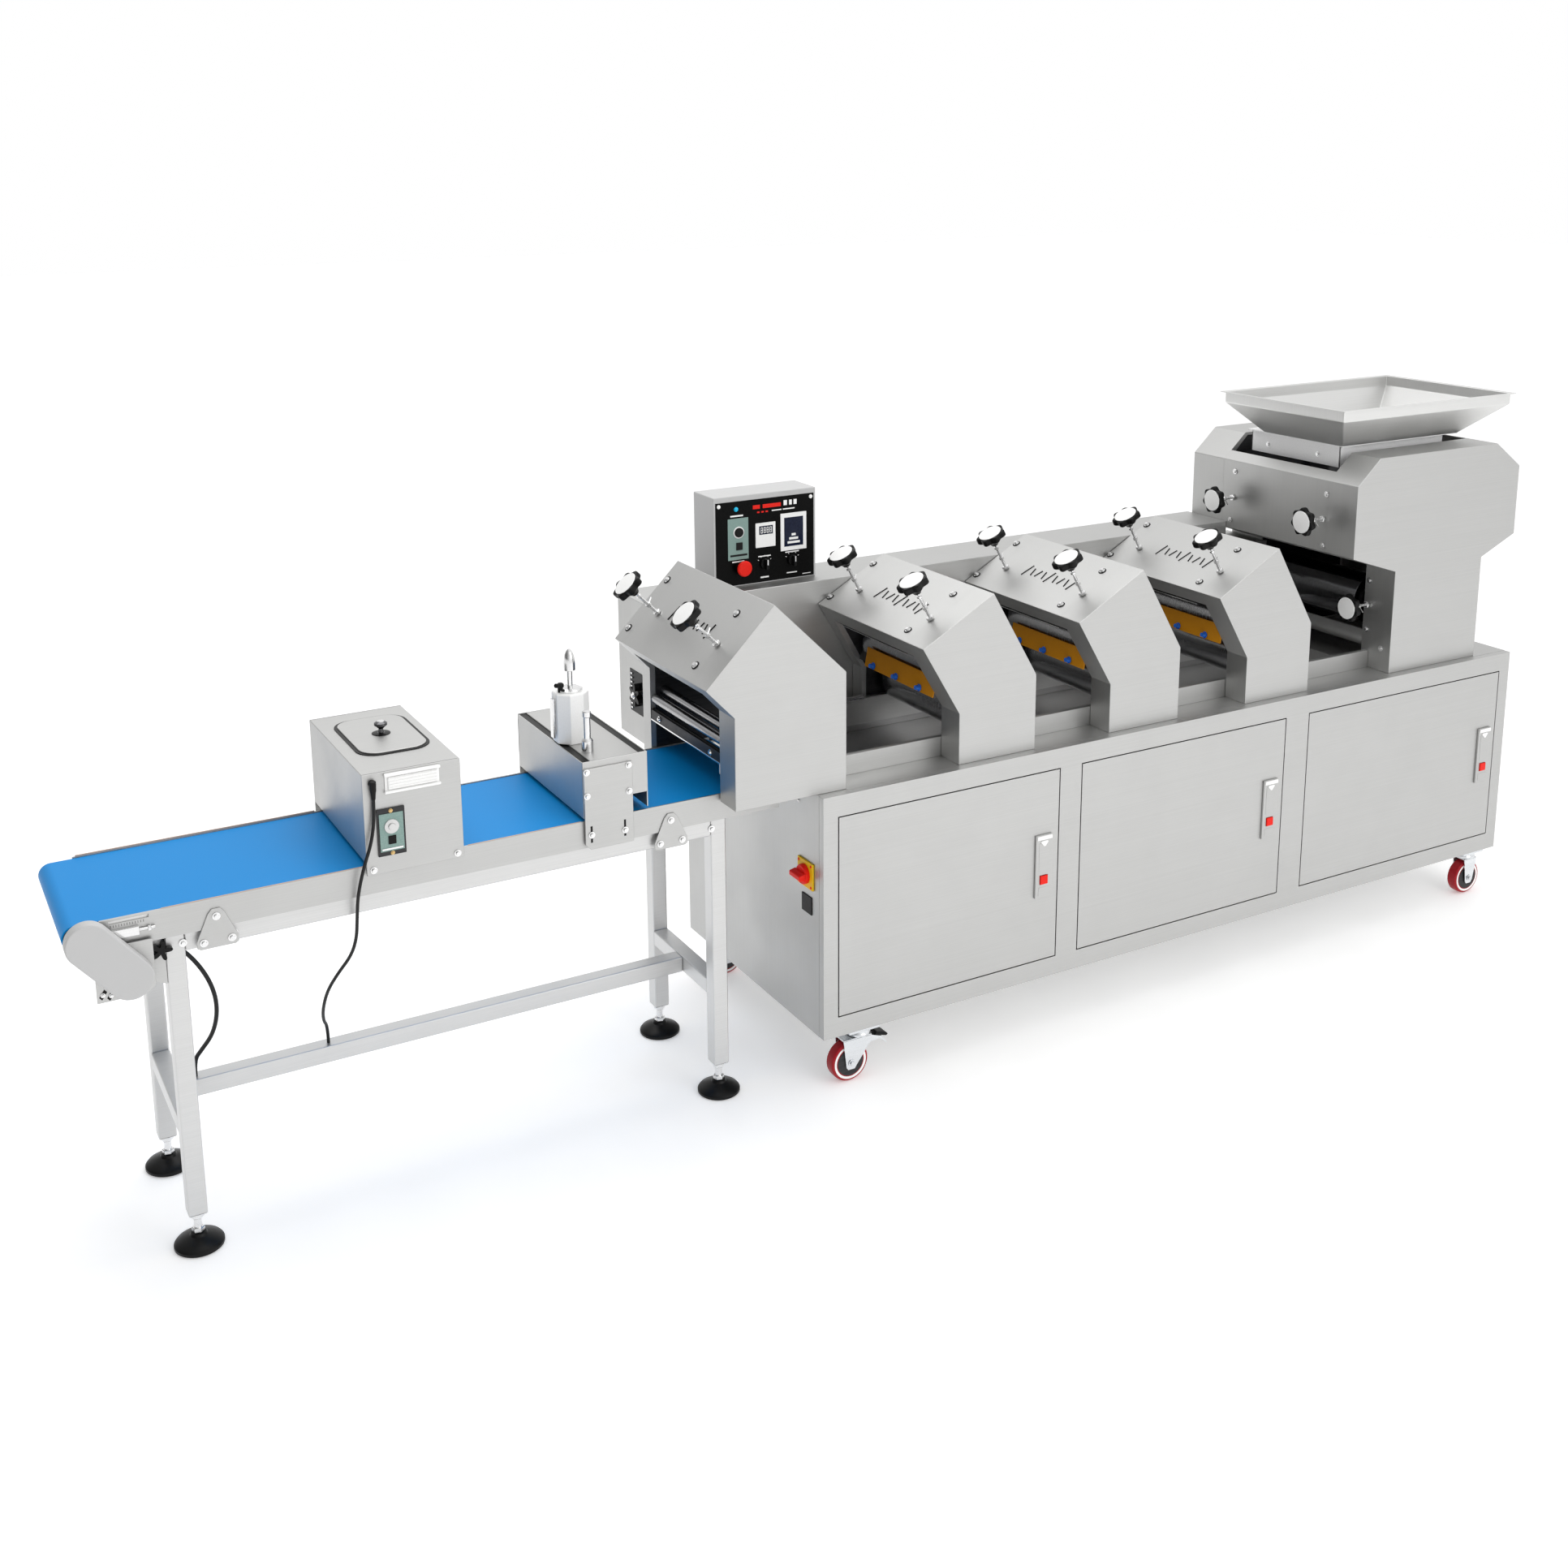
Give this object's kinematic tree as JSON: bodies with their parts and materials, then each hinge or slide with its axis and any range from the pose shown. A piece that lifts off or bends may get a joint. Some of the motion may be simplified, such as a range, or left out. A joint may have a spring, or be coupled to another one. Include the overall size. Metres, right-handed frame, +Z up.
{
  "type": "dough sheeter",
  "caption": "Long wheeled dough sheeter with a hopper head, slanted roller stations, doors below, and a belt conveyor with flour duster and cutter.",
  "frame": {"origin": "on the floor, under the middle of the machine's overall length and width", "axes": "+X along the machine from the conveyor's nose to the hopper head, +Y from the operator's side with the doors to the back, +Z up"},
  "size_m": [3.913, 0.712, 1.486],
  "materials": {
    "belt_blue": "smooth food belt",
    "black_plastic": "moulded",
    "cable_black": "sheath",
    "motor_grey": "enamel",
    "orange_plate": "coated",
    "red_plastic": "moulded",
    "red_tyre": "polyurethane tread",
    "roller_steel": "ground and polished",
    "stainless": "brushed stainless sheet",
    "stainless_bright": "polished stainless",
    "stainless_tube": "brushed square tube",
    "zinc": "bright zinc plate"
  },
  "bodies": {
    "machine": {"cabinet_body": "stainless", "station_covers": "stainless", "transfer_trough": "stainless", "rear_drive_cover": "stainless", "control_box": "stainless", "end_cover": "stainless", "head_cover": "stainless", "hopper": "stainless_bright", "scraper_plates": "orange_plate", "caster_mounts": "zinc", "conveyor_frame": "stainless_tube", "conveyor_bed": "stainless", "conveyor_belt": "belt_blue", "belt_drive": "motor_grey", "levelling_feet": "stainless_bright", "duster_body": "stainless", "cutter_housing": "stainless", "duster_cable": "cable_black", "motor_cable": "cable_black", "drive_train": "motor_grey"},
    "door_1": {"door_1": "stainless"},
    "latch_button_1": {"latch_button_1": "red_plastic"},
    "door_2": {"door_2": "stainless"},
    "latch_button_2": {"latch_button_2": "red_plastic"},
    "door_3": {"door_3": "stainless"},
    "latch_button_3": {"latch_button_3": "red_plastic"},
    "end_upper_roller": {"end_upper_roller": "roller_steel"},
    "end_lower_roller": {"end_lower_roller": "roller_steel"},
    "end_front_knob": {"end_front_knob": "black_plastic"},
    "end_rear_knob": {"end_rear_knob": "black_plastic"},
    "station_1_upper_roller": {"station_1_upper_roller": "roller_steel"},
    "station_1_lower_roller": {"station_1_lower_roller": "roller_steel"},
    "station_1_front_knob": {"station_1_front_knob": "black_plastic"},
    "station_1_rear_knob": {"station_1_rear_knob": "black_plastic"},
    "station_2_upper_roller": {"station_2_upper_roller": "roller_steel"},
    "station_2_lower_roller": {"station_2_lower_roller": "roller_steel"},
    "station_2_front_knob": {"station_2_front_knob": "black_plastic"},
    "station_2_rear_knob": {"station_2_rear_knob": "black_plastic"},
    "station_3_upper_roller": {"station_3_upper_roller": "roller_steel"},
    "station_3_lower_roller": {"station_3_lower_roller": "roller_steel"},
    "station_3_front_knob": {"station_3_front_knob": "black_plastic"},
    "station_3_rear_knob": {"station_3_rear_knob": "black_plastic"},
    "head_feed_roller": {"head_feed_roller": "roller_steel"},
    "head_fixed_roller": {"head_fixed_roller": "roller_steel"},
    "head_lower_roller": {"head_lower_roller": "roller_steel"},
    "head_front_knob": {"head_front_knob": "black_plastic"},
    "head_rear_knob": {"head_rear_knob": "black_plastic"},
    "head_clamp_knob": {"head_clamp_knob": "black_plastic"},
    "stop_button": {"stop_button": "red_plastic"},
    "speed_knob": {"speed_knob": "black_plastic"},
    "mode_knob": {"mode_knob": "black_plastic"},
    "mains_handle": {"mains_handle": "red_plastic"},
    "front_swivel_fork": {"front_swivel_fork": "zinc"},
    "rear_swivel_fork": {"rear_swivel_fork": "zinc"},
    "front_left_wheel": {"front_left_wheel": "red_tyre"},
    "rear_left_wheel": {"rear_left_wheel": "red_tyre"},
    "front_right_wheel": {"front_right_wheel": "red_tyre"},
    "rear_right_wheel": {"rear_right_wheel": "red_tyre"},
    "duster_lid": {"duster_lid": "stainless"},
    "cutter_ram": {"cutter_ram": "stainless_bright"}
  },
  "joints": [
    {"name": "door_1_hinge", "type": "hinge", "parent": "machine", "child": "door_1", "pos_m": [-0.3133, -0.347, 0.43], "axis": [0, 0, -1], "range_deg": [0, 110]},
    {"name": "latch_button_1_press", "type": "slide", "parent": "door_1", "child": "latch_button_1", "axis": [0, 1, 0], "range_m": [0, 0.003], "stiffness_N_per_m": 800},
    {"name": "door_2_hinge", "type": "hinge", "parent": "machine", "child": "door_2", "pos_m": [0.3897, -0.347, 0.43], "axis": [0, 0, -1], "range_deg": [0, 110]},
    {"name": "latch_button_2_press", "type": "slide", "parent": "door_2", "child": "latch_button_2", "axis": [0, 1, 0], "range_m": [0, 0.003], "stiffness_N_per_m": 800},
    {"name": "door_3_hinge", "type": "hinge", "parent": "machine", "child": "door_3", "pos_m": [1.1597, -0.347, 0.43], "axis": [0, 0, -1], "range_deg": [0, 110]},
    {"name": "latch_button_3_press", "type": "slide", "parent": "door_3", "child": "latch_button_3", "axis": [0, 1, 0], "range_m": [0, 0.003], "stiffness_N_per_m": 800},
    {"name": "stop_button_press", "type": "slide", "parent": "machine", "child": "stop_button", "axis": [0, 1, 0], "range_m": [0, 0.0035], "stiffness_N_per_m": 800},
    {"name": "speed_knob_turn", "type": "hinge", "parent": "machine", "child": "speed_knob", "pos_m": [-0.1985, 0.213, 1.148], "axis": [0, -1, 0], "range_deg": [-150, 150]},
    {"name": "mode_knob_turn", "type": "hinge", "parent": "machine", "child": "mode_knob", "pos_m": [-0.1185, 0.213, 1.148], "axis": [0, -1, 0], "range_deg": [-45, 45]},
    {"name": "mains_handle_turn", "type": "hinge", "parent": "machine", "child": "mains_handle", "pos_m": [-0.3565, -0.27, 0.527], "axis": [-1, 0, 0], "range_deg": [0, 90]},
    {"name": "end_gap", "type": "slide", "parent": "machine", "child": "end_upper_roller", "axis": [-0.705, 0, 0.7092], "range_m": [0, 0.012]},
    {"name": "end_front_knob_turn", "type": "hinge", "parent": "machine", "child": "end_front_knob", "pos_m": [-0.56175, -0.235, 1.10032], "axis": [-0.705, 0, 0.7092], "range_deg": [-1081, 1]},
    {"name": "end_rear_knob_turn", "type": "hinge", "parent": "machine", "child": "end_rear_knob", "pos_m": [-0.56175, 0.073, 1.10032], "axis": [-0.705, 0, 0.7092], "range_deg": [-1081, 1]},
    {"name": "station_1_gap", "type": "slide", "parent": "machine", "child": "station_1_upper_roller", "axis": [-0.4804, 0, 0.8771], "range_m": [0, 0.012]},
    {"name": "station_1_front_knob_turn", "type": "hinge", "parent": "machine", "child": "station_1_front_knob", "pos_m": [0.00668, -0.235, 1.07828], "axis": [-0.4804, 0, 0.8771], "range_deg": [-1081, 1]},
    {"name": "station_1_rear_knob_turn", "type": "hinge", "parent": "machine", "child": "station_1_rear_knob", "pos_m": [0.00668, 0.085, 1.07828], "axis": [-0.4804, 0, 0.8771], "range_deg": [-1081, 1]},
    {"name": "station_2_gap", "type": "slide", "parent": "machine", "child": "station_2_upper_roller", "axis": [-0.4804, 0, 0.8771], "range_m": [0, 0.012]},
    {"name": "station_2_front_knob_turn", "type": "hinge", "parent": "machine", "child": "station_2_front_knob", "pos_m": [0.46318, -0.235, 1.07828], "axis": [-0.4804, 0, 0.8771], "range_deg": [-1081, 1]},
    {"name": "station_2_rear_knob_turn", "type": "hinge", "parent": "machine", "child": "station_2_rear_knob", "pos_m": [0.46318, 0.085, 1.07828], "axis": [-0.4804, 0, 0.8771], "range_deg": [-1081, 1]},
    {"name": "station_3_gap", "type": "slide", "parent": "machine", "child": "station_3_upper_roller", "axis": [-0.4804, 0, 0.8771], "range_m": [0, 0.012]},
    {"name": "station_3_front_knob_turn", "type": "hinge", "parent": "machine", "child": "station_3_front_knob", "pos_m": [0.91968, -0.235, 1.07828], "axis": [-0.4804, 0, 0.8771], "range_deg": [-1081, 1]},
    {"name": "station_3_rear_knob_turn", "type": "hinge", "parent": "machine", "child": "station_3_rear_knob", "pos_m": [0.91968, 0.085, 1.07828], "axis": [-0.4804, 0, 0.8771], "range_deg": [-1081, 1]},
    {"name": "head_gap", "type": "slide", "parent": "machine", "child": "head_feed_roller", "axis": [-1, 0, 0], "range_m": [0, 0.02]},
    {"name": "head_front_knob_turn", "type": "hinge", "parent": "machine", "child": "head_front_knob", "pos_m": [1.3165, -0.204, 1.172], "axis": [-1, 0, 0], "range_deg": [-1801, 1]},
    {"name": "head_rear_knob_turn", "type": "hinge", "parent": "machine", "child": "head_rear_knob", "pos_m": [1.3165, 0.143, 1.172], "axis": [-1, 0, 0], "range_deg": [-1801, 1]},
    {"name": "head_clamp_knob_turn", "type": "hinge", "parent": "machine", "child": "head_clamp_knob", "pos_m": [1.4815, -0.23, 0.914], "axis": [-1, 0, 0], "range_deg": [-360, 360]},
    {"name": "head_fixed_roller_spin", "type": "hinge", "parent": "machine", "child": "head_fixed_roller", "pos_m": [1.6855, -0.0145, 1.172], "axis": [0, 1, 0], "continuous": true},
    {"name": "head_lower_roller_spin", "type": "hinge", "parent": "machine", "child": "head_lower_roller", "pos_m": [1.5335, -0.0145, 0.915], "axis": [0, 1, 0], "continuous": true},
    {"name": "end_lower_roller_spin", "type": "hinge", "parent": "machine", "child": "end_lower_roller", "pos_m": [-0.3594, -0.062, 0.89679], "axis": [0, 1, 0], "continuous": true},
    {"name": "station_1_lower_roller_spin", "type": "hinge", "parent": "machine", "child": "station_1_lower_roller", "pos_m": [0.14455, -0.062, 0.82656], "axis": [0, 1, 0], "continuous": true},
    {"name": "station_2_lower_roller_spin", "type": "hinge", "parent": "machine", "child": "station_2_lower_roller", "pos_m": [0.60105, -0.062, 0.82656], "axis": [0, 1, 0], "continuous": true},
    {"name": "station_3_lower_roller_spin", "type": "hinge", "parent": "machine", "child": "station_3_lower_roller", "pos_m": [1.05755, -0.062, 0.82656], "axis": [0, 1, 0], "continuous": true},
    {"name": "front_swivel", "type": "hinge", "parent": "machine", "child": "front_swivel_fork", "pos_m": [-0.2425, -0.313, 0.1], "axis": [0, 0, 1], "continuous": true},
    {"name": "front_left_wheel_spin", "type": "hinge", "parent": "front_swivel_fork", "child": "front_left_wheel", "pos_m": [-0.2725, -0.313, 0.05], "axis": [0, 1, 0], "continuous": true},
    {"name": "front_right_wheel_spin", "type": "hinge", "parent": "machine", "child": "front_right_wheel", "pos_m": [1.8645, -0.313, 0.05], "axis": [0, 1, 0], "continuous": true},
    {"name": "rear_swivel", "type": "hinge", "parent": "machine", "child": "rear_swivel_fork", "pos_m": [-0.2425, 0.322, 0.1], "axis": [0, 0, 1], "continuous": true},
    {"name": "rear_left_wheel_spin", "type": "hinge", "parent": "rear_swivel_fork", "child": "rear_left_wheel", "pos_m": [-0.2725, 0.322, 0.05], "axis": [0, 1, 0], "continuous": true},
    {"name": "rear_right_wheel_spin", "type": "hinge", "parent": "machine", "child": "rear_right_wheel", "pos_m": [1.8645, 0.322, 0.05], "axis": [0, 1, 0], "continuous": true},
    {"name": "duster_lid_lift", "type": "slide", "parent": "machine", "child": "duster_lid", "axis": [0, 0, 1], "range_m": [0, 0.06]},
    {"name": "cutter_stroke", "type": "slide", "parent": "machine", "child": "cutter_ram", "axis": [0, 0, -1], "range_m": [0, 0.036], "stiffness_N_per_m": 2500, "springref_m": -0.012}
  ],
  "couplings": [
    {"joint": "end_front_knob_turn", "follows": "end_gap", "rad_per_m": -1570.8},
    {"joint": "end_rear_knob_turn", "follows": "end_gap", "rad_per_m": -1570.8},
    {"joint": "station_1_front_knob_turn", "follows": "station_1_gap", "rad_per_m": -1570.8},
    {"joint": "station_1_rear_knob_turn", "follows": "station_1_gap", "rad_per_m": -1570.8},
    {"joint": "station_2_front_knob_turn", "follows": "station_2_gap", "rad_per_m": -1570.8},
    {"joint": "station_2_rear_knob_turn", "follows": "station_2_gap", "rad_per_m": -1570.8},
    {"joint": "station_3_front_knob_turn", "follows": "station_3_gap", "rad_per_m": -1570.8},
    {"joint": "station_3_rear_knob_turn", "follows": "station_3_gap", "rad_per_m": -1570.8},
    {"joint": "head_front_knob_turn", "follows": "head_gap", "rad_per_m": -1570.8},
    {"joint": "head_rear_knob_turn", "follows": "head_gap", "rad_per_m": -1570.8},
    {"joint": "head_lower_roller_spin", "follows": "head_fixed_roller_spin", "ratio": 1.1429},
    {"joint": "end_lower_roller_spin", "follows": "head_fixed_roller_spin", "ratio": 1.3333},
    {"joint": "station_1_lower_roller_spin", "follows": "head_fixed_roller_spin", "ratio": 1.3333},
    {"joint": "station_2_lower_roller_spin", "follows": "head_fixed_roller_spin", "ratio": 1.3333},
    {"joint": "station_3_lower_roller_spin", "follows": "head_fixed_roller_spin", "ratio": 1.3333}
  ]
}
